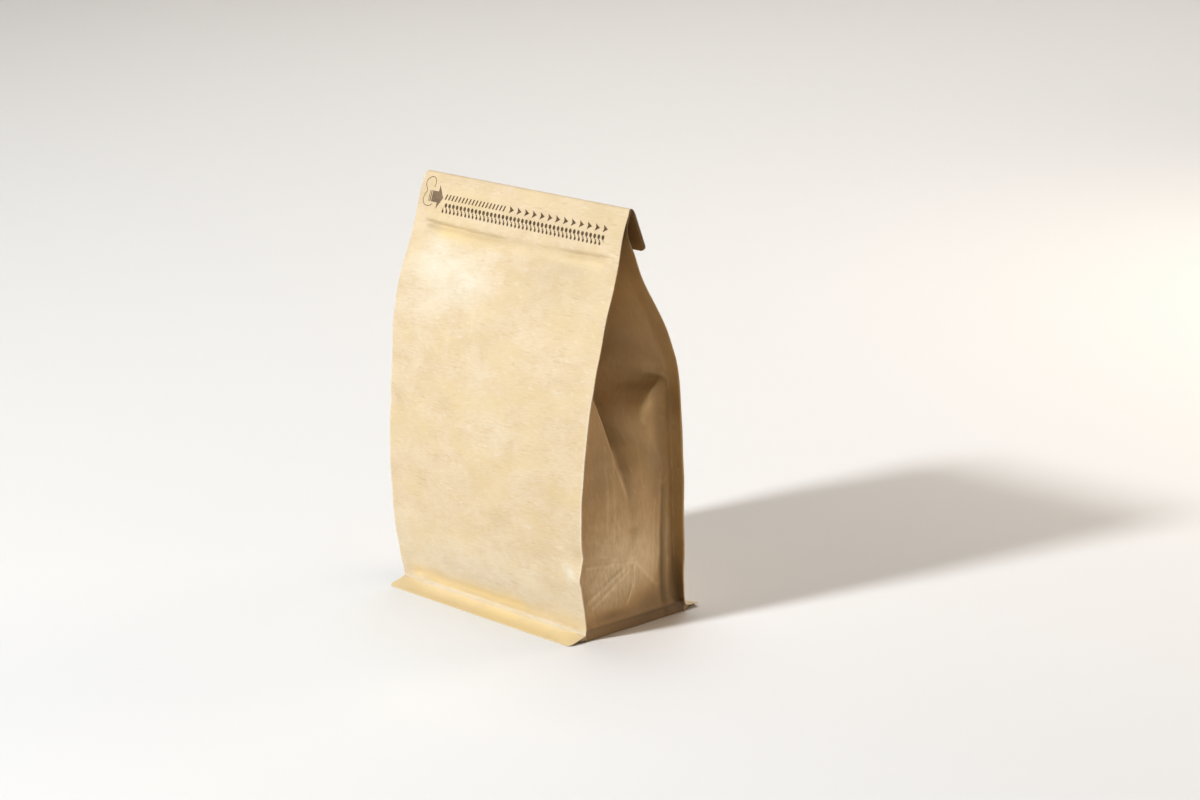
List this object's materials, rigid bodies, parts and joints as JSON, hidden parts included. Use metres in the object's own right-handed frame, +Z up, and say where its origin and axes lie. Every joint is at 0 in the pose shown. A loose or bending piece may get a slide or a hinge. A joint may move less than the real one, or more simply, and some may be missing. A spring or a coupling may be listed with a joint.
{
  "type": "coffee bag",
  "caption": "Filled flat-bottomed coffee bag of kraft film with side tucks, standing on a sealed base with its top folded over to the back.",
  "frame": {"origin": "centre of the base, on the surface the bag stands on", "axes": "+Z up, +X along the bag's width, -Y out of the printed front panel, so the folded top hangs on the +Y side"},
  "size_m": [0.1404, 0.0872, 0.2031],
  "materials": {
    "kraft_film": "matt kraft paper film with fine fibres"
  },
  "bodies": {
    "root": {"bag": "kraft_film"}
  },
  "joints": []
}
